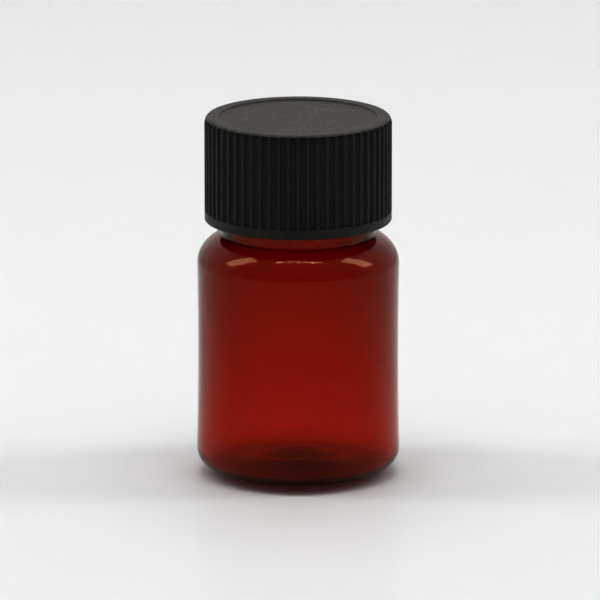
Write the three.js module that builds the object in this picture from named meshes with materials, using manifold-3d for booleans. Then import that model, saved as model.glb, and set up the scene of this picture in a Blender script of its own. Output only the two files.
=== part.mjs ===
// A small amber pharmacy bottle with a ribbed black screw cap and a sealing liner.
// Millimetres, +Z up. The origin is the centre of the ring that the bottle stands on.
// Three separate pieces: the blown bottle, the one-piece cap and the liner disc in it.

import * as THREE from 'three';
import { mergeVertices } from 'three/addons/utils/BufferGeometryUtils.js';
import Module from 'manifold-3d';

const wasm = await Module();
wasm.setup();

// ---- driving dimensions ----

const NECK_RADIUS = 12.6; // outside of the bare neck
const BORE_RADIUS = 10.8;
const THREAD_PITCH = 25.4 / 6; // six turns to the inch
const THREAD_HEIGHT = 1.1; // how far the ridge stands off the neck
const THREAD_TURNS = 1.5;

const BODY_RADIUS = 16.48; // where the shoulder starts
const HEEL_BODY_RADIUS = 16.58; // where the heel starts
const WAIST_INSET = 0.17; // the wall draws in this much at mid height
const WALL = 0.9;
const HEEL_RADIUS = 3.0;
const RING_WIDTH = 1.0; // flat part of the standing ring
const PUSH_UP = 2.0; // height of the hollow under the base
const PUSH_UP_SHARE = 0.86; // its radius, as a share of the ring's inner radius
const BASE_THICKNESS = 1.0;
const SHOULDER_START = 34.2;
const SHOULDER_REACH = 9.0; // radial half-axis of the shoulder's curve
const SHOULDER_RISE = 5.85; // vertical half-axis of the shoulder's curve
const FINISH_HEIGHT = 16.4; // neck root to lip
const LIP_CHAMFER = 0.3;

const CAP_RADIUS = 15.25;
const CAP_HEIGHT = 17.2;
const CAP_INNER_RADIUS = 14.05;
const RIB_COUNT = 60;
const GROOVE_DEPTH = 0.38;
const GROOVE_SHARE = 0.64; // part of one rib's pitch that is groove
const GROOVE_FLOOR_SHARE = 0.8; // its floor's width, as a share of its mouth's
const BAND_HEIGHT = 1.6; // smooth band below the ribs
const BAND_ROUND = 0.25;
const GROOVE_TOP_GAP = 0.5; // rim left above the grooves
const RIM_REACH = 0.7; // the cap's top corner is a quarter ellipse
const RIM_DROP = 1.4;
const PANEL_RADIUS = 12.8; // recessed disc in the top
const PANEL_DEPTH = 0.35;
const PANEL_THICKNESS = 1.25;
const CAP_TURNS = 2;
const CAP_THREAD_LEAD = 0.25; // turns that the cap's ridge starts above the neck's
const MOUTH_CHAMFER = 0.4;

const LINER_RADIUS = 13.6;
const LINER_THICKNESS = 1.0;
const LINER_CHAMFER = 0.15;
const BEAD_HEIGHT = 0.7; // the bead inside the cap that the liner snaps past
const BEAD_GRIP = 0.25; // how far the bead reaches under the liner's edge

const RIDGE_ROOT = 1.1; // half-widths of a thread's ridge, at the wall and at the crest
const RIDGE_CREST = 0.5;
const RIDGE_SUNK = 0.4; // how deep a ridge's solid reaches into its wall
const RIDGE_RUN_OUT = Math.PI / 4; // a ridge fades into the wall over this angle

const FACE_GAP = 0.2; // left between the liner and what it touches
const FLANK_GAP = 0.15; // least room along the axis between the two ridges
const CREST_GAP = 0.3; // between a ridge's crest and the other piece's wall
const BEAD_GAP = 0.3; // between the neck's ridge and the bead above it

const ROUND_FLATS = 48; // flats round a turned surface
const SKIRT_FLATS = 2 * RIB_COUNT;
const THREAD_STEPS_PER_TURN = 32;
const BASE_STEPS = 6; // flats along each curve of an outline
const HEEL_STEPS = 5;
const WALL_STEPS = 4;
const SHOULDER_STEPS = 7;
const RIM_STEPS = 4;
const MERGE_DISTANCE = 1e-5;

// ---- dimensions that follow from them ----

const RING_OUTER = HEEL_BODY_RADIUS - HEEL_RADIUS;
const RING_INNER = RING_OUTER - RING_WIDTH;
const PUSH_UP_RADIUS = PUSH_UP_SHARE * RING_INNER;
const INNER_REACH = SHOULDER_REACH - WALL / 2;
const INNER_RISE = SHOULDER_RISE - WALL;
const NECK_ROOT = shoulderHeight(NECK_RADIUS, BODY_RADIUS, SHOULDER_REACH, SHOULDER_RISE);
const LIP = NECK_ROOT + FINISH_HEIGHT;
const LINER_BOTTOM = LIP + FACE_GAP;
const LINER_TOP = LINER_BOTTOM + LINER_THICKNESS;
const PANEL_UNDERSIDE = LINER_TOP + FACE_GAP;
const CAP_TOP = PANEL_UNDERSIDE + PANEL_THICKNESS + PANEL_DEPTH;
const CAP_BOTTOM = CAP_TOP - CAP_HEIGHT;
const BEAD_TOP = LINER_BOTTOM - FACE_GAP;
const BEAD_BOTTOM = BEAD_TOP - BEAD_HEIGHT;
const BEAD_RADIUS = LINER_RADIUS - BEAD_GRIP;
const THREAD_TOP = BEAD_BOTTOM - BEAD_GAP - RIDGE_ROOT;
const RIDGE_OFFSET = RIDGE_ROOT + RIDGE_CREST + FLANK_GAP;
const CAP_THREAD_TOP = THREAD_TOP - RIDGE_OFFSET + CAP_THREAD_LEAD * THREAD_PITCH;

// ---- outlines ----

// Height of the shoulder's quarter-ellipse curve where it has the given radius.
function shoulderHeight(radius, bodyRadius, reach, rise) {
  const cosine = (radius - bodyRadius + reach) / reach;
  return SHOULDER_START + rise * Math.sqrt(1 - cosine * cosine);
}

// Points along an ellipse's arc, from one angle to another.
function arc(centreR, centreZ, radiusR, radiusZ, from, to, steps) {
  const points = [];
  for (let i = 0; i <= steps; i += 1) {
    const angle = from + ((to - from) * i) / steps;
    points.push(new THREE.Vector2(
      centreR + radiusR * Math.cos(angle),
      centreZ + radiusZ * Math.sin(angle),
    ));
  }
  return points;
}

// The shoulder from the body's wall up to the given neck radius.
function shoulder(neckRadius, bodyRadius, reach, rise) {
  const end = Math.acos((neckRadius - bodyRadius + reach) / reach);
  return arc(bodyRadius - reach, SHOULDER_START, reach, rise, 0, end, SHOULDER_STEPS);
}

// The wall's own radius at a height: it draws in gently between heel and shoulder.
function wallRadius(z) {
  const along = (z - HEEL_RADIUS) / (SHOULDER_START - HEEL_RADIUS);
  const straight = HEEL_BODY_RADIUS + (BODY_RADIUS - HEEL_BODY_RADIUS) * along;
  return straight - WAIST_INSET * 4 * along * (1 - along);
}

// The wall between heel and shoulder, moved in by the given thickness.
function bodyWall(inset) {
  const points = [];
  for (let i = 1; i < WALL_STEPS; i += 1) {
    const z = HEEL_RADIUS + ((SHOULDER_START - HEEL_RADIUS) * i) / WALL_STEPS;
    points.push(new THREE.Vector2(wallRadius(z) - inset, z));
  }
  return points;
}

// The push-up under the base: a smooth bell, from the axis outwards.
function pushUp(lift) {
  const points = [];
  for (let i = 0; i <= BASE_STEPS; i += 1) {
    const share = i / BASE_STEPS;
    const bell = (1 + Math.cos(Math.PI * share)) / 2;
    points.push(new THREE.Vector2(PUSH_UP_RADIUS * share, lift + PUSH_UP * bell));
  }
  return points;
}

// ---- solids ----

// A closed geometry as a solid that can be cut and joined.
function solid(geometry) {
  const bare = geometry.clone();
  bare.deleteAttribute('normal');
  bare.deleteAttribute('uv');
  const merged = mergeVertices(bare, MERGE_DISTANCE);
  const corners = merged.getIndex().array;
  const kept = [];
  for (let i = 0; i < corners.length; i += 3) {
    const [a, b, c] = [corners[i], corners[i + 1], corners[i + 2]];
    if (a !== b && b !== c && c !== a) {
      kept.push(a, b, c);
    }
  }
  return new wasm.Manifold(new wasm.Mesh({
    numProp: 3,
    vertProperties: new Float32Array(merged.getAttribute('position').array),
    triVerts: new Uint32Array(kept),
  }));
}

function geometryOf(body) {
  const mesh = body.getMesh();
  const geometry = new THREE.BufferGeometry();
  geometry.setAttribute('position', new THREE.BufferAttribute(mesh.vertProperties, 3));
  geometry.setIndex(new THREE.BufferAttribute(mesh.triVerts, 1));
  geometry.computeVertexNormals();
  return geometry;
}

// A solid of revolution about Z. The outline runs up the outside, from axis to axis.
function turned(points, flats = ROUND_FLATS) {
  const geometry = new THREE.LatheGeometry(points, flats);
  geometry.rotateX(Math.PI / 2);
  return solid(geometry);
}

// A right-hand thread ridge that winds down from the given height. The section is drawn as
// radius across and height up, extruded along the unrolled turn, then wrapped round the axis.
function threadRidge({ rootRadius, crestRadius, top, turns, lead }) {
  const height = crestRadius - rootRadius; // negative on a ridge that points inwards
  const sunkRadius = rootRadius - Math.sign(height) * RIDGE_SUNK;
  const section = new THREE.Shape([
    new THREE.Vector2(sunkRadius, -RIDGE_ROOT),
    new THREE.Vector2(rootRadius, -RIDGE_ROOT),
    new THREE.Vector2(crestRadius, -RIDGE_CREST),
    new THREE.Vector2(crestRadius, RIDGE_CREST),
    new THREE.Vector2(rootRadius, RIDGE_ROOT),
    new THREE.Vector2(sunkRadius, RIDGE_ROOT),
  ]);
  const sweep = turns * 2 * Math.PI;
  const geometry = new THREE.ExtrudeGeometry(section, {
    depth: sweep,
    steps: Math.round(turns * THREAD_STEPS_PER_TURN),
    bevelEnabled: false,
  });
  const place = geometry.getAttribute('position');
  for (let i = 0; i < place.count; i += 1) {
    const swept = place.getZ(i);
    const toNearerEnd = Math.max(0, Math.min(swept, sweep - swept));
    const fade = Math.min(1, toNearerEnd / RIDGE_RUN_OUT);
    const standing = (place.getX(i) - rootRadius) / height;
    const radius = standing > 0 ? rootRadius + height * standing * fade : place.getX(i);
    const angle = lead * 2 * Math.PI - swept;
    const z = top + place.getY(i) - (THREAD_PITCH * swept) / (2 * Math.PI);
    place.setXYZ(i, radius * Math.cos(angle), radius * Math.sin(angle), z);
  }
  return solid(geometry);
}

function bottleSolid() {
  const innerHeel = HEEL_RADIUS - WALL;
  const innerHeelHeight = BASE_THICKNESS + innerHeel;
  const outside = [
    ...pushUp(0),
    new THREE.Vector2(RING_INNER, 0),
    ...arc(RING_OUTER, HEEL_RADIUS, HEEL_RADIUS, HEEL_RADIUS, -Math.PI / 2, 0, HEEL_STEPS),
    ...bodyWall(0),
    ...shoulder(NECK_RADIUS, BODY_RADIUS, SHOULDER_REACH, SHOULDER_RISE),
    new THREE.Vector2(NECK_RADIUS, LIP - LIP_CHAMFER),
    new THREE.Vector2(NECK_RADIUS - LIP_CHAMFER, LIP),
    new THREE.Vector2(BORE_RADIUS + LIP_CHAMFER, LIP),
    new THREE.Vector2(BORE_RADIUS, LIP - LIP_CHAMFER),
  ];
  const inside = [
    ...pushUp(BASE_THICKNESS),
    ...arc(RING_OUTER, innerHeelHeight, innerHeel, innerHeel, -Math.PI / 2, 0, HEEL_STEPS),
    ...bodyWall(WALL),
    ...shoulder(BORE_RADIUS, BODY_RADIUS - WALL, INNER_REACH, INNER_RISE),
  ];
  const ridge = threadRidge({
    rootRadius: NECK_RADIUS,
    crestRadius: NECK_RADIUS + THREAD_HEIGHT,
    top: THREAD_TOP,
    turns: THREAD_TURNS,
    lead: 0,
  });
  return turned([...outside, ...inside.reverse()]).add(ridge);
}

// Sixty cutters, one for each groove between two ribs, as one extruded set of outlines.
function grooveCutters() {
  const outlines = [];
  const pitch = (2 * Math.PI) / RIB_COUNT;
  const floor = CAP_RADIUS - GROOVE_DEPTH;
  const clear = CAP_RADIUS + GROOVE_DEPTH;
  const wide = (GROOVE_SHARE * pitch) / 2;
  const narrow = GROOVE_FLOOR_SHARE * wide;
  for (let i = 0; i < RIB_COUNT; i += 1) {
    const middle = (i + 0.5) * pitch;
    const corner = (radius, turn) => new THREE.Vector2(
      radius * Math.cos(middle + turn),
      radius * Math.sin(middle + turn),
    );
    outlines.push(new THREE.Shape([
      corner(floor, -narrow),
      corner(CAP_RADIUS, -wide),
      corner(clear, -wide),
      corner(clear, wide),
      corner(CAP_RADIUS, wide),
      corner(floor, narrow),
    ]));
  }
  const bottom = CAP_BOTTOM + BAND_HEIGHT;
  const geometry = new THREE.ExtrudeGeometry(outlines, {
    depth: CAP_TOP - GROOVE_TOP_GAP - bottom,
    bevelEnabled: false,
  });
  geometry.translate(0, 0, bottom);
  return solid(geometry);
}

function capSolid() {
  const rimCentre = CAP_RADIUS - RIM_REACH;
  const mouthRadius = CAP_INNER_RADIUS + MOUTH_CHAMFER;
  const outside = turned([
    new THREE.Vector2(0, CAP_BOTTOM),
    new THREE.Vector2(CAP_RADIUS - BAND_ROUND, CAP_BOTTOM),
    new THREE.Vector2(CAP_RADIUS, CAP_BOTTOM + BAND_ROUND),
    ...arc(rimCentre, CAP_TOP - RIM_DROP, RIM_REACH, RIM_DROP, 0, Math.PI / 2, RIM_STEPS),
    new THREE.Vector2(PANEL_RADIUS + PANEL_DEPTH / 2, CAP_TOP),
    new THREE.Vector2(PANEL_RADIUS, CAP_TOP - PANEL_DEPTH),
    new THREE.Vector2(0, CAP_TOP - PANEL_DEPTH),
  ], SKIRT_FLATS);
  const below = CAP_BOTTOM - MOUTH_CHAMFER; // the cutter reaches past the open end
  const hollow = turned([
    new THREE.Vector2(0, below),
    new THREE.Vector2(mouthRadius, below),
    new THREE.Vector2(mouthRadius, CAP_BOTTOM),
    new THREE.Vector2(CAP_INNER_RADIUS, CAP_BOTTOM + MOUTH_CHAMFER),
    new THREE.Vector2(CAP_INNER_RADIUS, BEAD_BOTTOM),
    new THREE.Vector2(BEAD_RADIUS, BEAD_BOTTOM + BEAD_HEIGHT / 2),
    new THREE.Vector2(BEAD_RADIUS, BEAD_TOP - BEAD_HEIGHT / 4),
    new THREE.Vector2(CAP_INNER_RADIUS, BEAD_TOP),
    new THREE.Vector2(CAP_INNER_RADIUS, PANEL_UNDERSIDE),
    new THREE.Vector2(0, PANEL_UNDERSIDE),
  ]);
  const ridge = threadRidge({
    rootRadius: CAP_INNER_RADIUS,
    crestRadius: NECK_RADIUS + CREST_GAP,
    top: CAP_THREAD_TOP,
    turns: CAP_TURNS,
    lead: CAP_THREAD_LEAD,
  });
  return outside.subtract(hollow).subtract(grooveCutters()).add(ridge);
}

function linerSolid() {
  return turned([
    new THREE.Vector2(0, LINER_BOTTOM),
    new THREE.Vector2(LINER_RADIUS - LINER_CHAMFER, LINER_BOTTOM),
    new THREE.Vector2(LINER_RADIUS, LINER_BOTTOM + LINER_CHAMFER),
    new THREE.Vector2(LINER_RADIUS, LINER_TOP - LINER_CHAMFER),
    new THREE.Vector2(LINER_RADIUS - LINER_CHAMFER, LINER_TOP),
    new THREE.Vector2(0, LINER_TOP),
  ]);
}

// ---- the assembly ----

const amber = new THREE.MeshStandardMaterial({
  color: '#7a1206',
  roughness: 0.06,
  metalness: 0,
  transparent: true,
  opacity: 0.8,
});
const black = new THREE.MeshStandardMaterial({ color: '#141414', roughness: 0.55, metalness: 0 });
const foam = new THREE.MeshStandardMaterial({ color: '#e9e8e2', roughness: 0.85, metalness: 0 });

function piece(name, body, material) {
  const mesh = new THREE.Mesh(geometryOf(body), material);
  mesh.name = name;
  return mesh;
}

const vial = new THREE.Group();
vial.add(piece('bottle', bottleSolid(), amber));
vial.add(piece('cap', capSolid(), black));
vial.add(piece('liner', linerSolid(), foam));

export default vial;
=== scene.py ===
import math

import bmesh
import bpy
import mathutils
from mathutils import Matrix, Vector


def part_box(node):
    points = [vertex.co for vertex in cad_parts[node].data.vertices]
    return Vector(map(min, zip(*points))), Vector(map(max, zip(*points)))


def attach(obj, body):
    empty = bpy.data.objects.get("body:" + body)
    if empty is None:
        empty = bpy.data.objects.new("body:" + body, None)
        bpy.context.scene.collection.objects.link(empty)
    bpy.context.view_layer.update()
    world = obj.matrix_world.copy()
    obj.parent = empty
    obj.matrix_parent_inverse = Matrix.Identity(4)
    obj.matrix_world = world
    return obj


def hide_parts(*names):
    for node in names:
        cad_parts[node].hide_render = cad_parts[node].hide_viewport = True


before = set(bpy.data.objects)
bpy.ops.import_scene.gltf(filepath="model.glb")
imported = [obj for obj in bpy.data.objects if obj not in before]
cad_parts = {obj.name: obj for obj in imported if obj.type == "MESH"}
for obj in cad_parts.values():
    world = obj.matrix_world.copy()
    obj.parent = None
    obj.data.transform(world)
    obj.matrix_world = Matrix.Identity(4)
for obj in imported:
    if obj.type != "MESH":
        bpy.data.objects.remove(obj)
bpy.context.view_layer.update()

MM = 0.001
FULL_TURN = 2 * math.pi

_, bottle_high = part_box("bottle")
cap_low, cap_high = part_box("cap")
liner_low, liner_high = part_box("liner")

# ---------------------------------------------------------------- sizes, in millimetres

# The frame gives the outer sizes. The bottle's side stays a hair inside them.
LIP_HEIGHT = bottle_high.z / MM
HAIR = 0.005
BODY_HEEL_RADIUS = bottle_high.x / MM - HAIR
CAP_RADIUS = cap_high.x / MM
CAP_TOP = cap_high.z / MM
CAP_BOTTOM = cap_low.z / MM
LINER_RADIUS = liner_high.x / MM
LINER_TOP = liner_high.z / MM
LINER_BOTTOM = liner_low.z / MM
MERGE_GAP = 0.002

# bottle: the side, the base, the shoulder and the neck
BODY_RADIUS = 16.48
WAIST_INSET = 0.17
WALL_FOOT = 0.62
WALL_TOP = 1.24
HEEL_RADIUS = 3.0
RING_WIDTH = 1.0
RING_OUTER = BODY_HEEL_RADIUS - HEEL_RADIUS
RING_INNER = RING_OUTER - RING_WIDTH
PUSH_UP = 1.8
PUSH_UP_RADIUS = 0.97 * RING_INNER
BASE_RING = 0.8
BASE_MIDDLE = 1.2
SHOULDER_START = 34.2
SHOULDER_REACH = 9.0
SHOULDER_RISE = 5.85
NECK_RADIUS = 12.6
BORE_RADIUS = 10.8
LIP_ROUND = 0.3
ROOT_FILLET = 0.4
INNER_FILLET = 0.5
ROOT_GAP = 0.05
BOTTLE_FLATS = 180
PUSH_UP_STEPS = 24
WALL_STEPS = 16
SHOULDER_STEPS = 28

# thread ridges: the section both of them share, and the bottle's own winding
THREAD_PITCH = 25.4 / 6
THREAD_HEIGHT = 1.1
THREAD_TURNS = 1.5
THREAD_TOP = 53.311
RIDGE_ROOT = 1.1
RIDGE_CREST = 0.5
RIDGE_ROUND = 0.3
RIDGE_SUNK = 0.4
RIDGE_BURIED = 0.08
RIDGE_STEPS = 96
RUN_OUT = 0.125

# cap: the skirt with its grooves and band, the rim, the sunk panel, the bead and the thread
CAP_INNER_RADIUS = 14.05
CAP_CORNER = 0.3
RIB_COUNT = 60
FLATS_PER_RIB = 12
GROOVE_DEPTH = 0.38
GROOVE_TOP = CAP_TOP - 0.25
BAND_HEIGHT = 1.6
BAND_ROUND = 0.25
BAND_STEP = 0.12
RIM_REACH = 0.7
RIM_DROP = 1.2
RIM_GAP = 0.08
RIM_ROUND = 0.15
PANEL_RADIUS = 12.8
PANEL_DEPTH = 0.25
PANEL_CORNER = 0.1
PANEL_UNDERSIDE = CAP_TOP - 1.6
MOUTH_CHAMFER = 0.4
BEAD_RADIUS = 13.35
BEAD_BOTTOM = 54.711
BEAD_TOP = 55.411
BEAD_SLOPE = 0.05
CAP_THREAD_TOP = 51.561
CAP_THREAD_TURNS = 2.0
CAP_THREAD_LEAD = 0.25
CAP_CREST_RADIUS = 12.9

# How far each column of corners across a rib is pressed in, from the crest's middle
# to the groove's, as a share of the groove's depth.
RIB_SECTION = (0.0, 0.05, 0.28, 0.80, 0.97, 1.0, 1.0)

# liner
LINER_ROUND = 0.15
LIP_PRINT = 0.05
PRINT_SLOPE = 0.1
LINER_FLATS = 144

# Edges sharper than this, in degrees, stay sharp.
SHARP_EDGE = 35
CAP_SHARP_EDGE = 40

# ---------------------------------------------------------------- looks, lengths in metres

AMBER_IOR = 1.47
AMBER_PASSED = (0.862, 0.19, 0.0)
AMBER_DENSITY = 4000
AMBER_SHEEN = (1.0, 0.74, 0.38)
AMBER_CLEAN = (1.0, 0.98, 0.97)
AMBER_TOUCHED = (0.97, 0.94, 0.92)
AMBER_ROUGHNESS = (0.025, 0.06)
AMBER_WAVES = 0.00006
AMBER_MARKS = 0.00002

CAP_GLOSS = 0.4
CAP_DARK = (0.007, 0.007, 0.006)
CAP_MID = (0.015, 0.015, 0.013)
CAP_WORN = (0.036, 0.034, 0.030)
CAP_DUST = (0.28, 0.27, 0.25)
CAP_ROUGHNESS = (0.42, 0.58)
CAP_GRAIN = 0.00003
CAP_HAIRLINES = -0.00001
# Painted sheen: the cap's top gets a lighter grey than its black sides, standing in for the soft
# reflection of the light above; grain speckles it.
PANEL_SHEEN_DARK = (0.042, 0.039, 0.033)
PANEL_SHEEN_LIGHT = (0.086, 0.080, 0.069)
PANEL_SHEEN_START = (CAP_TOP - 0.45) * MM
PANEL_SHEEN_FULL = (CAP_TOP - 0.3) * MM

FOAM_DARK = (0.62, 0.60, 0.55)
FOAM_LIGHT = (0.80, 0.78, 0.73)
FOAM_STAIN = (0.66, 0.61, 0.52)
FOAM_SPECK = (0.40, 0.37, 0.33)
FOAM_ROUGHNESS = (0.70, 0.88)
FOAM_CELLS = 0.00008

# ---------------------------------------------------------------- stage, in metres and watts

FLOOR_RADIUS = 3.0
PAPER_HEIGHT = -0.0012
PAPER_DARK = (0.87, 0.87, 0.87)
PAPER_LIGHT = (0.89, 0.89, 0.89)
FILM_HEIGHT = -0.00004
FILM_IOR = 1.45
FILM_ROUGHNESS = 0.3
FILM_GLOSS = 0.3

# How bright the room is in front of the bottle, behind it, above it, and as a backdrop.
ROOM_FRONT = 0.28
ROOM_BACK = 0.88
ROOM_CEILING = 0.55
ROOM_SHOWN = 0.91

# Each lamp: its name, its place, the point it faces, its width and length, its power.
BACK_LIGHT = ("back_light", (0, 0.5, 1.0), (0, 0, 0.02), (0.8, 0.5), 1.5)
LEFT_BOX = ("left_box", (-0.70, 0.05, 0.70), (0, 0, 0.035), (0.24, 0.6), 1.95)
RIGHT_BOX = ("right_box", (0.72, 0.05, 0.66), (0, 0, 0.035), (0.24, 0.6), 1.95)
OVERHEAD = ("overhead", (0, -0.2, 1.2), (0, 0, 0), (0.9, 0.6), 1.0)

# A row of narrow strips over the bottle: they make the row of small lights on its shoulder.
STRIP_ACROSS = (-0.288, -0.21, -0.105, 0.0, 0.105, 0.183, 0.288)
STRIP_FORWARD = -0.195
STRIP_HEIGHT = 1.0
STRIP_AIM = (0, 0, 0.04)
STRIP_SIZE = (0.022, 0.10)
STRIP_POWER = 0.2

CAMERA_LENS = 551.0
CAMERA_SENSOR = 36.0
CAMERA_DISTANCE = 1.5
CAMERA_ELEVATION = math.radians(13.8)
CAMERA_AIM_X = 0.0003
CAMERA_AIM_Z = 0.0276
VIEW_GAMMA = 0.67


# ---------------------------------------------------------------- modelling


def deselect():
    if bpy.context.object is not None and bpy.context.object.mode != "OBJECT":
        bpy.ops.object.mode_set(mode="OBJECT")
    bpy.ops.object.select_all(action="DESELECT")


def take(piece):
    deselect()
    piece.select_set(True)
    bpy.context.view_layer.objects.active = piece


def edit(piece):
    take(piece)
    bpy.ops.object.mode_set(mode="EDIT")


def done():
    bpy.ops.object.mode_set(mode="OBJECT")


def pick(piece, test):
    """Selects the corners that pass the test, in edit mode."""
    bpy.ops.mesh.select_mode(type="VERT")
    mesh = bmesh.from_edit_mesh(piece.data)
    for corner in mesh.verts:
        corner.select_set(bool(test(corner.co)))
    mesh.select_flush_mode()
    bmesh.update_edit_mesh(piece.data, loop_triangles=False, destructive=False)


def arc(centre, radii, start, end, steps):
    """Points of an elliptic arc, as (radius, height) pairs."""
    points = []
    for step in range(steps + 1):
        angle = math.radians(start + (end - start) * step / steps)
        across = centre[0] + radii[0] * math.cos(angle)
        up = centre[1] + radii[1] * math.sin(angle)
        points.append((across, up))
    return points


def draw_outline(name, outline):
    """A line through the outline's points, drawn by pulling one corner along it."""
    deselect()
    bpy.ops.mesh.primitive_plane_add(size=MM, location=(0, 0, 0))
    piece = bpy.context.object
    piece.name = name
    piece.data.name = name
    edit(piece)
    bpy.ops.mesh.select_mode(type="VERT")
    bpy.ops.mesh.select_all(action="SELECT")
    bpy.ops.mesh.merge(type="CENTER")
    bpy.ops.transform.translate(value=(outline[0][0] * MM, 0, outline[0][1] * MM))
    for start, end in zip(outline, outline[1:]):
        step = ((end[0] - start[0]) * MM, 0, (end[1] - start[1]) * MM)
        bpy.ops.mesh.extrude_vertices_move(TRANSFORM_OT_translate={"value": step})
    done()
    return piece


def turn_on_lathe(name, outline, flats):
    """A closed body of revolution about the upright axis."""
    piece = draw_outline(name, outline)
    edit(piece)
    bpy.ops.mesh.select_all(action="SELECT")
    bpy.ops.mesh.spin(steps=flats, angle=FULL_TURN, center=(0, 0, 0), axis=(0, 0, 1))
    bpy.ops.mesh.select_all(action="SELECT")
    bpy.ops.mesh.remove_doubles(threshold=MERGE_GAP * MM)
    bpy.ops.mesh.normals_make_consistent(inside=False)
    done()
    return piece


def ridge_section(name, root, crest, start, lead):
    """The tapered, rounded section of a thread ridge, its back sunk into the wall."""
    deselect()
    upright = (math.pi / 2, 0, 0)
    bpy.ops.mesh.primitive_plane_add(size=2 * MM, location=(0, 0, 0), rotation=upright)
    ridge = bpy.context.object
    ridge.name = name
    bpy.ops.object.transform_apply(location=True, rotation=True, scale=True)
    side = 1 if crest > root else -1
    sunk = root - side * RIDGE_SUNK
    middle = (sunk + crest) / 2 * MM
    half = abs(crest - sunk) / 2
    taper = (1, 1, RIDGE_CREST / RIDGE_ROOT)
    edit(ridge)
    bpy.ops.mesh.select_all(action="SELECT")
    bpy.ops.transform.resize(value=(half, 1, RIDGE_ROOT), center_override=(0, 0, 0))
    bpy.ops.transform.translate(value=(middle, 0, start))
    pick(ridge, lambda co: (co.x - middle) * side > 0)
    bpy.ops.transform.resize(value=taper, center_override=(0, 0, start))
    bpy.ops.mesh.bevel(offset=RIDGE_ROUND * MM, segments=4, affect="VERTICES")
    bpy.ops.mesh.select_all(action="SELECT")
    bpy.ops.mesh.delete(type="ONLY_FACE")
    bpy.ops.mesh.select_all(action="SELECT")
    if lead:
        turn = -lead * FULL_TURN
        bpy.ops.transform.rotate(value=turn, orient_axis="Z", center_override=(0, 0, 0))
    done()
    return ridge


def wind_ridge(name, root, crest, top, turns, lead):
    """A thread ridge: its section wound down the axis and run out at both ends."""
    start = (top + lead * THREAD_PITCH) * MM
    ridge = ridge_section(name, root, crest, start, lead)
    screw = ridge.modifiers.new("winding", "SCREW")
    screw.axis = "Z"
    screw.angle = -turns * FULL_TURN
    screw.screw_offset = -turns * THREAD_PITCH * MM
    screw.steps = screw.render_steps = int(turns * RIDGE_STEPS)
    screw.use_smooth_shade = True
    bpy.ops.object.modifier_apply(modifier=screw.name)
    run_out_ends(ridge, root, crest, start, turns, lead)
    close_ends(ridge)
    return ridge


def run_out_ends(ridge, root, crest, start, turns, lead):
    """Lets both ends of a wound ridge sink into the wall over an eighth of a turn."""
    side = 1 if crest > root else -1
    buried = root - side * RIDGE_BURIED
    count = int(RUN_OUT * RIDGE_STEPS)
    same_section = 0.4 / RIDGE_STEPS
    same_height = 1.5 * RIDGE_ROOT * MM
    near_wall = -RIDGE_SUNK / 2
    edit(ridge)
    for step in range(count):
        reach = buried + (crest - buried) * step / count
        for turned in (step / RIDGE_STEPS, turns - step / RIDGE_STEPS):
            height = start - turned * THREAD_PITCH * MM

            def in_section(co):
                off = math.atan2(co.y, co.x) / FULL_TURN - lead + turned
                if abs(off - round(off)) > same_section:
                    return False
                above_root = (math.hypot(co.x, co.y) / MM - root) * side > near_wall
                return above_root and abs(co.z - height) < same_height

            pick(ridge, in_section)
            drawn_in = (reach / crest, reach / crest, 1)
            bpy.ops.transform.resize(value=drawn_in, center_override=(0, 0, 0))
    done()


def close_ends(ridge):
    edit(ridge)
    bpy.ops.mesh.select_all(action="SELECT")
    bpy.ops.mesh.remove_doubles(threshold=MERGE_GAP * MM)
    bpy.ops.mesh.select_all(action="DESELECT")
    bpy.ops.mesh.select_non_manifold(extend=False)
    bpy.ops.mesh.fill_holes(sides=0)
    bpy.ops.mesh.select_all(action="SELECT")
    bpy.ops.mesh.normals_make_consistent(inside=False)
    done()


def join_ridge(piece, ridge):
    take(piece)
    union = piece.modifiers.new("ridge", "BOOLEAN")
    union.operation = "UNION"
    union.solver = "EXACT"
    union.object = ridge
    bpy.ops.object.modifier_apply(modifier=union.name)
    bpy.data.objects.remove(ridge)


def look_smooth(piece, angle):
    take(piece)
    bpy.ops.object.shade_smooth_by_angle(angle=math.radians(angle))


# ---------------------------------------------------------------- bottle


def push_up(middle, ring):
    """The base's dome, from its middle's height to its ring's."""
    points = []
    for step in range(PUSH_UP_STEPS + 1):
        share = step / PUSH_UP_STEPS
        bell = (1 + math.cos(math.pi * share)) / 2
        points.append((PUSH_UP_RADIUS * share, ring + (middle - ring) * bell))
    return points


def body_wall(foot, inset_foot, inset_top):
    """The side from the heel to the shoulder: its waist is a little narrower than its ends."""
    points = []
    for step in range(WALL_STEPS + 1):
        share = step / WALL_STEPS
        radius = BODY_HEEL_RADIUS + (BODY_RADIUS - BODY_HEEL_RADIUS) * share
        radius -= WAIST_INSET * 4 * share * (1 - share)
        radius -= inset_foot + (inset_top - inset_foot) * share
        points.append((radius, foot + (SHOULDER_START - foot) * share))
    return points


def shoulder(end, start, reach, rise):
    """The shoulder's curve, from the side's radius to where it meets the neck's."""
    centre = (start - reach, SHOULDER_START)
    stop = math.degrees(math.acos((end - centre[0]) / reach))
    return arc(centre, (reach, rise), 0, stop, SHOULDER_STEPS)


def neck_root(neck, size, shoulder_line):
    """The shoulder's line cut short and rounded into the neck's upright wall."""
    (below_radius, below), (radius, meeting) = shoulder_line[-2:]
    slope = math.atan2(meeting - below, below_radius - radius)
    centre = (neck + size, meeting + size * (1 - math.sin(slope)) / math.cos(slope))
    curve = arc(centre, (size, size), 270 - math.degrees(slope), 180, steps=10)
    limit = curve[0][0] + ROOT_GAP
    return [*[point for point in shoulder_line if point[0] > limit], *curve]


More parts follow.
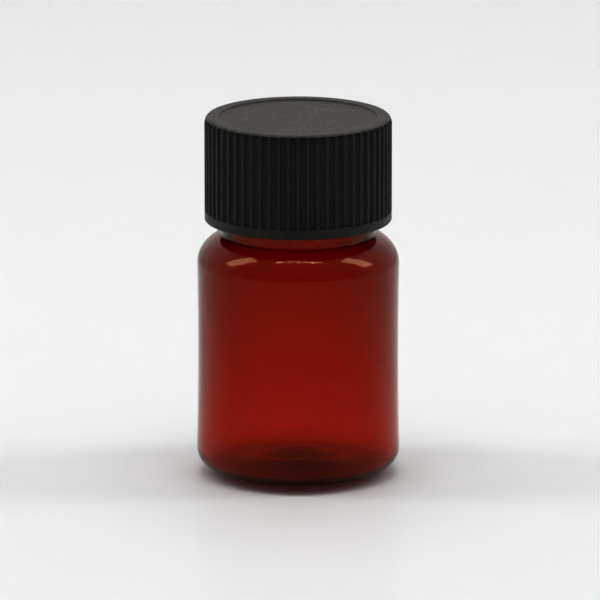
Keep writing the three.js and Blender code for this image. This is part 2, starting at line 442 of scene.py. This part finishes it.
def bottle_outline():
    inner_heel = HEEL_RADIUS - WALL_FOOT
    inner_foot = BASE_RING + inner_heel
    inner_body = BODY_RADIUS - WALL_TOP
    inner_reach = SHOULDER_REACH - WALL_TOP / 2
    inner_rise = SHOULDER_RISE - WALL_TOP
    outer_top = shoulder(NECK_RADIUS, BODY_RADIUS, SHOULDER_REACH, SHOULDER_RISE)
    inner_top = shoulder(BORE_RADIUS, inner_body, inner_reach, inner_rise)
    lip = LIP_HEIGHT - LIP_ROUND
    lip_round = (LIP_ROUND, LIP_ROUND)
    outside = [
        *push_up(PUSH_UP, 0),
        *arc((RING_OUTER, HEEL_RADIUS), (HEEL_RADIUS, HEEL_RADIUS), -90, 0, steps=16),
        *body_wall(HEEL_RADIUS, 0, 0)[1:],
        *neck_root(NECK_RADIUS, ROOT_FILLET, outer_top)[1:],
    ]
    neck = [
        *arc((NECK_RADIUS - LIP_ROUND, lip), lip_round, 0, 90, steps=6),
        *arc((BORE_RADIUS + LIP_ROUND, lip), lip_round, 90, 180, steps=6),
    ]
    inside = [
        *push_up(PUSH_UP + BASE_MIDDLE, BASE_RING),
        *arc((RING_OUTER, inner_foot), (inner_heel, inner_heel), -90, 0, steps=14),
        *body_wall(inner_foot, WALL_FOOT, WALL_TOP)[1:],
        *neck_root(BORE_RADIUS, INNER_FILLET, inner_top)[1:],
    ]
    return [*outside, *neck, *reversed(inside)]


def make_bottle():
    bottle = turn_on_lathe("bottle_body", bottle_outline(), BOTTLE_FLATS)
    crest = NECK_RADIUS + THREAD_HEIGHT
    ridge = wind_ridge("bottle_ridge", NECK_RADIUS, crest, THREAD_TOP, THREAD_TURNS, lead=0)
    join_ridge(bottle, ridge)
    look_smooth(bottle, SHARP_EDGE)
    return bottle


# ---------------------------------------------------------------- cap


def cap_outline():
    rim_centre = CAP_RADIUS - RIM_REACH
    rim = arc((rim_centre, CAP_TOP - RIM_DROP), (RIM_REACH, RIM_DROP), 0, 90, steps=12)
    lower_rim = [point for point in rim if point[1] < GROOVE_TOP - RIM_GAP]
    upper_rim = [point for point in rim if point[1] > GROOVE_TOP + RIM_GAP]
    share = (GROOVE_TOP - CAP_TOP + RIM_DROP) / RIM_DROP
    groove_end = rim_centre + RIM_REACH * math.sqrt(1 - share * share)
    groove_foot = CAP_BOTTOM + BAND_HEIGHT
    panel = CAP_TOP - PANEL_DEPTH
    panel_corner = (PANEL_RADIUS - PANEL_CORNER, panel + PANEL_CORNER)
    rim_corner = (PANEL_RADIUS + 0.2, CAP_TOP - RIM_ROUND)
    band_corner = (CAP_RADIUS - BAND_ROUND, CAP_BOTTOM + BAND_ROUND)
    inner_corner = (CAP_INNER_RADIUS - CAP_CORNER, PANEL_UNDERSIDE - CAP_CORNER)
    outside = [
        (0, panel),
        (PANEL_RADIUS * 0.5, panel),
        (PANEL_RADIUS - 0.3, panel),
        *arc(panel_corner, (PANEL_CORNER, PANEL_CORNER), -90, -20, steps=4),
        *arc(rim_corner, (RIM_ROUND, RIM_ROUND), 160, 90, steps=4),
        *reversed(upper_rim),
        (groove_end, GROOVE_TOP),
        *reversed(lower_rim),
        (CAP_RADIUS, (CAP_TOP + CAP_BOTTOM) / 2),
        (CAP_RADIUS, groove_foot + BAND_STEP),
        (CAP_RADIUS, groove_foot),
        *arc(band_corner, (BAND_ROUND, BAND_ROUND), 0, -90, steps=6),
    ]
    inside = [
        (CAP_INNER_RADIUS + MOUTH_CHAMFER, CAP_BOTTOM),
        (CAP_INNER_RADIUS, CAP_BOTTOM + MOUTH_CHAMFER),
        (CAP_INNER_RADIUS, BEAD_BOTTOM),
        (BEAD_RADIUS + BEAD_SLOPE, BEAD_BOTTOM + 0.3),
        (BEAD_RADIUS, BEAD_BOTTOM + 0.42),
        (BEAD_RADIUS + BEAD_SLOPE, BEAD_TOP - 0.14),
        (CAP_INNER_RADIUS, BEAD_TOP),
        (CAP_INNER_RADIUS, PANEL_UNDERSIDE - CAP_CORNER),
        *arc(inner_corner, (CAP_CORNER, CAP_CORNER), 0, 90, steps=4)[1:],
        (0, PANEL_UNDERSIDE),
    ]
    return [*outside, *inside]


def press_grooves(cap):
    """Presses the columns of corners between the ribs into the skirt, rib by rib alike."""
    foot = (CAP_BOTTOM + BAND_HEIGHT + 0.05) * MM
    head = (GROOVE_TOP - 0.04) * MM
    outer = (CAP_RADIUS - RIM_REACH) * MM
    count = RIB_COUNT * FLATS_PER_RIB
    edit(cap)
    for column in range(1, FLATS_PER_RIB // 2 + 1):

        def in_column(co):
            if not foot < co.z < head or math.hypot(co.x, co.y) < outer:
                return False
            place = round(math.atan2(co.y, co.x) / FULL_TURN * count) % FLATS_PER_RIB
            return place in (column, FLATS_PER_RIB - column)

        pick(cap, in_column)
        depth = GROOVE_DEPTH * RIB_SECTION[column]
        size = (CAP_RADIUS - depth) / CAP_RADIUS
        bpy.ops.transform.resize(value=(size, size, 1), center_override=(0, 0, 0))
    bpy.ops.mesh.select_all(action="SELECT")
    bpy.ops.mesh.normals_make_consistent(inside=False)
    done()


def make_cap():
    cap = turn_on_lathe("cap_shell", cap_outline(), RIB_COUNT * FLATS_PER_RIB)
    press_grooves(cap)
    ridge = wind_ridge(
        "cap_ridge",
        CAP_INNER_RADIUS,
        CAP_CREST_RADIUS,
        CAP_THREAD_TOP,
        CAP_THREAD_TURNS,
        CAP_THREAD_LEAD,
    )
    join_ridge(cap, ridge)
    look_smooth(cap, CAP_SHARP_EDGE)
    return cap


# ---------------------------------------------------------------- liner


def make_liner():
    """A disc with rounded edges, and the shallow print of the lip on its underside."""
    edge = LINER_RADIUS - LINER_ROUND
    edge_round = (LINER_ROUND, LINER_ROUND)
    outline = [
        (0, LINER_TOP),
        (LINER_RADIUS * 0.5, LINER_TOP),
        *arc((edge, LINER_TOP - LINER_ROUND), edge_round, 90, 0, steps=5),
        *arc((edge, LINER_BOTTOM + LINER_ROUND), edge_round, 0, -90, steps=5),
        (NECK_RADIUS + PRINT_SLOPE, LINER_BOTTOM),
        (NECK_RADIUS - PRINT_SLOPE, LINER_BOTTOM + LIP_PRINT),
        (BORE_RADIUS + PRINT_SLOPE, LINER_BOTTOM + LIP_PRINT),
        (BORE_RADIUS - PRINT_SLOPE, LINER_BOTTOM),
        (0, LINER_BOTTOM),
    ]
    liner = turn_on_lathe("liner_disc", outline, LINER_FLATS)
    look_smooth(liner, SHARP_EDGE)
    return liner


# ---------------------------------------------------------------- nodes and node groups


def new_group(name, inputs, outputs):
    """A shader node group: a Position socket, named values in, named masks or heights out."""
    group = bpy.data.node_groups.new(name, "ShaderNodeTree")
    sockets = group.interface
    sockets.new_socket(name="Position", in_out="INPUT", socket_type="NodeSocketVector")
    for label, value in inputs:
        socket = sockets.new_socket(name=label, in_out="INPUT", socket_type="NodeSocketFloat")
        socket.default_value = value
    for label in outputs:
        sockets.new_socket(name=label, in_out="OUTPUT", socket_type="NodeSocketFloat")
    return group, group.nodes.new("NodeGroupInput"), group.nodes.new("NodeGroupOutput")


def feed(tree, source, socket):
    """Sets a socket to a number or a colour, or links it to another node's output."""
    if isinstance(source, (int, float)):
        socket.default_value = source
    elif isinstance(source, tuple):
        socket.default_value = (*source, 1)
    else:
        tree.links.new(source, socket)


def maths(tree, operation, first, second=0.0):
    node = tree.nodes.new("ShaderNodeMath")
    node.operation = operation
    feed(tree, first, node.inputs[0])
    feed(tree, second, node.inputs[1])
    return node.outputs[0]


def ramp(tree, value, low, high, start=0.0, end=1.0):
    """A smooth step: start below low, end above high."""
    node = tree.nodes.new("ShaderNodeMapRange")
    node.interpolation_type = "SMOOTHSTEP"
    feed(tree, value, node.inputs["Value"])
    feed(tree, low, node.inputs["From Min"])
    feed(tree, high, node.inputs["From Max"])
    feed(tree, start, node.inputs["To Min"])
    feed(tree, end, node.inputs["To Max"])
    return node.outputs[0]


def noise(tree, position, size, detail):
    """Clouds about size metres across."""
    node = tree.nodes.new("ShaderNodeTexNoise")
    tree.links.new(position, node.inputs["Vector"])
    feed(tree, maths(tree, "DIVIDE", 1.0, size), node.inputs["Scale"])
    node.inputs["Detail"].default_value = detail
    return node.outputs["Fac"]


def stretched(tree, position, across, along):
    """The position with its height shrunk, so that a pattern runs up and down."""
    node = tree.nodes.new("ShaderNodeVectorMath")
    node.operation = "MULTIPLY"
    tree.links.new(position, node.inputs[0])
    node.inputs[1].default_value = (across, across, along)
    return node.outputs[0]


def blend(tree, share, first, second):
    """A colour between two colours."""
    node = tree.nodes.new("ShaderNodeMix")
    node.data_type = "RGBA"
    feed(tree, share, node.inputs[0])
    feed(tree, first, node.inputs[6])
    feed(tree, second, node.inputs[7])
    return node.outputs[2]


def make_grain():
    """Moulding grain: fine clouds with finer ones on them."""
    inputs = [("Size", 0.0003), ("Fineness", 0.4)]
    group, start, end = new_group("moulded_grain", inputs, ["Height"])
    position = start.outputs["Position"]
    size = start.outputs["Size"]
    coarse = noise(group, position, size, 2.0)
    fine = noise(group, position, maths(group, "MULTIPLY", size, 0.35), 2.0)
    centred = maths(group, "SUBTRACT", fine, 0.5)
    share = maths(group, "MULTIPLY", centred, start.outputs["Fineness"])
    group.links.new(maths(group, "ADD", coarse, share), end.inputs["Height"])
    return group


def make_smudges():
    """Soft patches where hands have been."""
    group, start, end = new_group("hand_smudges", [("Size", 0.006)], ["Mask"])
    clouds = noise(group, start.outputs["Position"], start.outputs["Size"], 3.0)
    group.links.new(ramp(group, clouds, 0.46, 0.68), end.inputs["Mask"])
    return group


def make_dust():
    """Small separate specks, one to a cell of the spacing, many of the cells empty."""
    inputs = [("Spacing", 0.003), ("Speck", 0.00008), ("Empty", 0.6)]
    group, start, end = new_group("dust_specks", inputs, ["Mask"])
    spacing = start.outputs["Spacing"]
    speck = start.outputs["Speck"]
    cells = group.nodes.new("ShaderNodeTexVoronoi")
    group.links.new(start.outputs["Position"], cells.inputs["Vector"])
    group.links.new(maths(group, "DIVIDE", 1.0, spacing), cells.inputs["Scale"])
    away = maths(group, "MULTIPLY", cells.outputs["Distance"], spacing)
    near = ramp(group, away, maths(group, "MULTIPLY", speck, 0.4), speck, 1.0, 0.0)
    cell_colour = group.nodes.new("ShaderNodeSeparateColor")
    group.links.new(cells.outputs["Color"], cell_colour.inputs[0])
    kept = maths(group, "GREATER_THAN", cell_colour.outputs[0], start.outputs["Empty"])
    group.links.new(maths(group, "MULTIPLY", near, kept), end.inputs["Mask"])
    return group


def make_scratches():
    """Hairline scratches: the borders of long cells, broken up."""
    inputs = [("Size", 0.004), ("Width", 0.00003), ("Amount", 0.4)]
    group, start, end = new_group("hairline_scratches", inputs, ["Mask"])
    position = start.outputs["Position"]
    size = start.outputs["Size"]
    long_cells = stretched(group, position, 1.0, 0.25)
    cells = group.nodes.new("ShaderNodeTexVoronoi")
    cells.feature = "DISTANCE_TO_EDGE"
    group.links.new(long_cells, cells.inputs["Vector"])
    group.links.new(maths(group, "DIVIDE", 1.0, size), cells.inputs["Scale"])
    away = maths(group, "MULTIPLY", cells.outputs["Distance"], size)
    line = ramp(group, away, 0.0, start.outputs["Width"], 1.0, 0.0)
    clouds = noise(group, position, maths(group, "MULTIPLY", size, 0.6), 2.0)
    limit = maths(group, "SUBTRACT", 1.0, start.outputs["Amount"])
    broken = ramp(group, clouds, limit, maths(group, "ADD", limit, 0.06))
    group.links.new(maths(group, "MULTIPLY", line, broken), end.inputs["Mask"])
    return group


def make_rubbed():
    """Where the outermost surface is rubbed: near a radius, unevenly."""
    inputs = [("Radius", 0.015), ("Depth", 0.0001), ("Patches", 0.002)]
    group, start, end = new_group("rubbed_edge", inputs, ["Mask"])
    position = start.outputs["Position"]
    split = group.nodes.new("ShaderNodeSeparateXYZ")
    group.links.new(position, split.inputs[0])
    across = maths(group, "POWER", split.outputs["X"], 2.0)
    deep = maths(group, "POWER", split.outputs["Y"], 2.0)
    radius = maths(group, "SQRT", maths(group, "ADD", across, deep))
    inner = maths(group, "SUBTRACT", start.outputs["Radius"], start.outputs["Depth"])
    outermost = ramp(group, radius, inner, start.outputs["Radius"])
    clouds = noise(group, position, start.outputs["Patches"], 3.0)
    uneven = ramp(group, clouds, 0.35, 0.65, 0.45, 1.0)
    group.links.new(maths(group, "MULTIPLY", outermost, uneven), end.inputs["Mask"])
    return group


GRAIN = make_grain()
SMUDGES = make_smudges()
DUST = make_dust()
SCRATCHES = make_scratches()
RUBBED = make_rubbed()


# ---------------------------------------------------------------- materials


def new_material(name):
    material = bpy.data.materials.new(name)
    material.use_nodes = True
    tree = material.node_tree
    place = tree.nodes.new("ShaderNodeTexCoord")
    return material, tree, tree.nodes["Principled BSDF"], place.outputs["Object"]


def use(tree, group, position, **values):
    """Places a group in a material with its own values and gives its one output."""
    node = tree.nodes.new("ShaderNodeGroup")
    node.node_tree = group
    tree.links.new(position, node.inputs["Position"])
    for label, value in values.items():
        node.inputs[label].default_value = value
    return node.outputs[0]


def raise_surface(tree, shader, heights):
    """Bumps, each a height and how many metres a height of one stands up."""
    normal = None
    for height, distance in heights:
        bump = tree.nodes.new("ShaderNodeBump")
        bump.inputs["Distance"].default_value = distance
        tree.links.new(height, bump.inputs["Height"])
        if normal is not None:
            tree.links.new(normal, bump.inputs["Normal"])
        normal = bump.outputs[0]
    tree.links.new(normal, shader.inputs["Normal"])


def amber_plastic():
    """Clear amber moulding: faintly wavy, smudged, with a few specks and hairlines."""
    material, tree, shader, place = new_material("amber_plastic")
    shader.inputs["IOR"].default_value = AMBER_IOR
    shader.inputs["Transmission Weight"].default_value = 1.0
    shader.inputs["Specular Tint"].default_value = (*AMBER_SHEEN, 1)
    absorption = tree.nodes.new("ShaderNodeVolumeAbsorption")
    absorption.inputs["Color"].default_value = (*AMBER_PASSED, 1)
    absorption.inputs["Density"].default_value = AMBER_DENSITY
    tree.links.new(absorption.outputs[0], tree.nodes["Material Output"].inputs["Volume"])

    side = BODY_HEEL_RADIUS * MM
    smudges = use(tree, SMUDGES, place, Size=0.007)
    specks = use(tree, DUST, place, Spacing=0.0042, Speck=0.00016, Empty=0.5)
    hairlines = use(tree, SCRATCHES, place, Size=0.005, Width=0.000022, Amount=0.36)
    rubbed = use(tree, RUBBED, place, Radius=side, Depth=0.00009, Patches=0.0012)
    marks = maths(tree, "MAXIMUM", specks, maths(tree, "MULTIPLY", hairlines, 0.5))
    colour = blend(tree, smudges, AMBER_CLEAN, AMBER_TOUCHED)
    tree.links.new(colour, shader.inputs["Base Color"])
    rough = ramp(tree, smudges, 0.0, 1.0, *AMBER_ROUGHNESS)
    rough = maths(tree, "ADD", rough, maths(tree, "MULTIPLY", marks, 0.6))
    rough = maths(tree, "ADD", rough, maths(tree, "MULTIPLY", rubbed, 0.05))
    tree.links.new(rough, shader.inputs["Roughness"])
    waves = noise(tree, stretched(tree, place, 1.0, 0.5), 0.006, 1.0)
    raise_surface(tree, shader, [(waves, AMBER_WAVES), (marks, AMBER_MARKS)])
    return material


def black_plastic():
    """Black moulding with a fine grain, rubbed greyer on the ribs; its top painted lighter as a
    sheen for the light above, speckled by grain.
    """
    material, tree, shader, place = new_material("black_plastic")
    shader.inputs["Specular IOR Level"].default_value = CAP_GLOSS
    side = CAP_RADIUS * MM
    grain = use(tree, GRAIN, place, Size=0.00030, Fineness=0.7)
    smudges = use(tree, SMUDGES, place, Size=0.004)
    specks = use(tree, DUST, place, Spacing=0.0031, Speck=0.00010, Empty=0.72)
    hairlines = use(tree, SCRATCHES, place, Size=0.006, Width=0.00004, Amount=0.40)
    rubbed = use(tree, RUBBED, place, Radius=side, Depth=0.00016, Patches=0.0012)
    split = tree.nodes.new("ShaderNodeSeparateXYZ")
    tree.links.new(place, split.inputs[0])
    # Painted sheen: from just under the top upwards the colour turns to a lighter grey, a painted
    # reflection of the light above, speckled by grain.
    painted_top_sheen = ramp(tree, split.outputs["Z"], PANEL_SHEEN_START, PANEL_SHEEN_FULL)
    mottled = blend(tree, grain, CAP_DARK, CAP_MID)
    panel_grain = use(tree, GRAIN, place, Size=0.0005, Fineness=0.8)
    grainy_top_sheen = blend(tree, ramp(tree, panel_grain, 0.35, 0.65), PANEL_SHEEN_DARK, PANEL_SHEEN_LIGHT)
    wear_and_top_sheen = blend(tree, maths(tree, "MULTIPLY", rubbed, 0.6), mottled, CAP_WORN)
    wear_and_top_sheen = blend(tree, painted_top_sheen, wear_and_top_sheen, grainy_top_sheen)
    marks = maths(tree, "MAXIMUM", specks, hairlines)
    dusty = blend(tree, maths(tree, "MULTIPLY", marks, 0.3), wear_and_top_sheen, CAP_DUST)
    tree.links.new(dusty, shader.inputs["Base Color"])
    rough = ramp(tree, grain, 0.2, 0.8, *CAP_ROUGHNESS)
    rough = maths(tree, "ADD", rough, maths(tree, "MULTIPLY", smudges, -0.02))
    rough = maths(tree, "SUBTRACT", rough, maths(tree, "MULTIPLY", rubbed, 0.08))
    tree.links.new(rough, shader.inputs["Roughness"])
    raise_surface(tree, shader, [(grain, CAP_GRAIN), (hairlines, CAP_HAIRLINES)])
    return material


def liner_foam():
    """Off-white closed-cell foam."""
    material, tree, shader, place = new_material("liner_foam")
    cells = use(tree, GRAIN, place, Size=0.00045, Fineness=1.0)
    stains = use(tree, SMUDGES, place, Size=0.008)
    specks = use(tree, DUST, place, Spacing=0.002, Speck=0.00008, Empty=0.7)
    colour = blend(tree, cells, FOAM_DARK, FOAM_LIGHT)
    colour = blend(tree, maths(tree, "MULTIPLY", stains, 0.3), colour, FOAM_STAIN)
    colour = blend(tree, maths(tree, "MULTIPLY", specks, 0.6), colour, FOAM_SPECK)
    tree.links.new(colour, shader.inputs["Base Color"])
    rough = ramp(tree, cells, 0.3, 0.7, *FOAM_ROUGHNESS)
    tree.links.new(rough, shader.inputs["Roughness"])
    raise_surface(tree, shader, [(cells, FOAM_CELLS)])
    return material


def white_paper():
    """Matt white paper with faint fibres."""
    material, tree, shader, place = new_material("white_paper")
    fibres = use(tree, GRAIN, place, Size=0.0012, Fineness=0.6)
    colour = blend(tree, fibres, PAPER_DARK, PAPER_LIGHT)
    tree.links.new(colour, shader.inputs["Base Color"])
    shader.inputs["Roughness"].default_value = 1.0
    shader.inputs["Specular IOR Level"].default_value = 0.0
    return material


def clear_film():
    """A thin clear sheet over the paper: it only adds a faint soft reflection."""
    material = bpy.data.materials.new("clear_film")
    material.use_nodes = True
    tree = material.node_tree
    tree.nodes.remove(tree.nodes["Principled BSDF"])
    clear = tree.nodes.new("ShaderNodeBsdfTransparent")
    gloss = tree.nodes.new("ShaderNodeBsdfGlossy")
    gloss.inputs["Roughness"].default_value = FILM_ROUGHNESS
    fresnel = tree.nodes.new("ShaderNodeFresnel")
    fresnel.inputs["IOR"].default_value = FILM_IOR
    mix = tree.nodes.new("ShaderNodeMixShader")
    tree.links.new(maths(tree, "MULTIPLY", fresnel.outputs[0], FILM_GLOSS), mix.inputs[0])
    tree.links.new(clear.outputs[0], mix.inputs[1])
    tree.links.new(gloss.outputs[0], mix.inputs[2])
    tree.links.new(mix.outputs[0], tree.nodes["Material Output"].inputs["Surface"])
    return material


def coat(piece, material):
    """Gives a piece one material all over."""
    piece.data.materials.clear()
    piece.data.materials.append(material)


# ---------------------------------------------------------------- stage


def add_disc(name, height, material):
    deselect()
    bpy.ops.mesh.primitive_circle_add(
        vertices=96, radius=FLOOR_RADIUS, fill_type="NGON", location=(0, 0, height)
    )
    disc = bpy.context.object
    disc.name = name
    coat(disc, material)
    return disc


def make_stage():
    paper = add_disc("paper", PAPER_HEIGHT, white_paper())
    film = add_disc("clear_film", FILM_HEIGHT, clear_film())


def make_world():
    """The room: darker in front of the bottle, bright behind it, calmer overhead."""
    world = bpy.data.worlds.new("studio")
    world.use_nodes = True
    bpy.context.scene.world = world
    tree = world.node_tree
    place = tree.nodes.new("ShaderNodeTexCoord")
    split = tree.nodes.new("ShaderNodeSeparateXYZ")
    tree.links.new(place.outputs["Generated"], split.inputs[0])
    around = ramp(tree, split.outputs["Y"], -0.8, 0.4, ROOM_FRONT, ROOM_BACK)
    above = ramp(tree, split.outputs["Z"], 0.45, 0.9)
    room = tree.nodes.new("ShaderNodeMix")
    tree.links.new(above, room.inputs[0])
    tree.links.new(around, room.inputs[2])
    room.inputs[3].default_value = ROOM_CEILING
    ray = tree.nodes.new("ShaderNodeLightPath")
    shown = tree.nodes.new("ShaderNodeMix")
    tree.links.new(ray.outputs["Is Camera Ray"], shown.inputs[0])
    tree.links.new(room.outputs[0], shown.inputs[2])
    shown.inputs[3].default_value = ROOM_SHOWN
    background = tree.nodes["Background"]
    tree.links.new(shown.outputs[0], background.inputs["Strength"])
    background.inputs["Color"].default_value = (1, 1, 1, 1)


def add_lamp(name, place, aim, size, power):
    lamp = bpy.data.lights.new(name, "AREA")
    lamp.shape = "RECTANGLE"
    lamp.size, lamp.size_y = size
    lamp.energy = power
    holder = bpy.data.objects.new(name, lamp)
    bpy.context.scene.collection.objects.link(holder)
    holder.location = place
    direction = mathutils.Vector(aim) - mathutils.Vector(place)
    holder.rotation_euler = direction.to_track_quat("-Z", "Y").to_euler()
    return holder


def make_lamps():
    """Back light, side boxes, strips, and an overhead lamp that lights but isn't mirrored."""
    for lamp in (BACK_LIGHT, LEFT_BOX, RIGHT_BOX):
        add_lamp(*lamp)
    for count, across in enumerate(STRIP_ACROSS):
        place = (across, STRIP_FORWARD, STRIP_HEIGHT)
        add_lamp("strip_%d" % count, place, STRIP_AIM, STRIP_SIZE, STRIP_POWER)
    overhead = add_lamp(*OVERHEAD)
    overhead.visible_glossy = False
    overhead.visible_transmission = False


def make_camera():
    data = bpy.data.cameras.new("camera")
    data.lens = CAMERA_LENS
    data.sensor_width = CAMERA_SENSOR
    data.clip_start, data.clip_end = 0.05, 10
    camera = bpy.data.objects.new("camera", data)
    bpy.context.scene.collection.objects.link(camera)
    camera.location = (
        CAMERA_AIM_X,
        -CAMERA_DISTANCE * math.cos(CAMERA_ELEVATION),
        CAMERA_AIM_Z + CAMERA_DISTANCE * math.sin(CAMERA_ELEVATION),
    )
    camera.rotation_euler = (math.pi / 2 - CAMERA_ELEVATION, 0, 0)
    bpy.context.scene.camera = camera


# ---------------------------------------------------------------- scene

bottle = make_bottle()
cap = make_cap()
liner = make_liner()

coat(bottle, amber_plastic())
coat(cap, black_plastic())
coat(liner, liner_foam())

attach(bottle, "bottle")
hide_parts("bottle")
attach(cap, "cap")
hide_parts("cap")
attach(liner, "liner")
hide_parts("liner")

make_stage()
make_world()
make_lamps()
make_camera()
settings = bpy.context.scene.view_settings
settings.view_transform = "Standard"
settings.gamma = VIEW_GAMMA
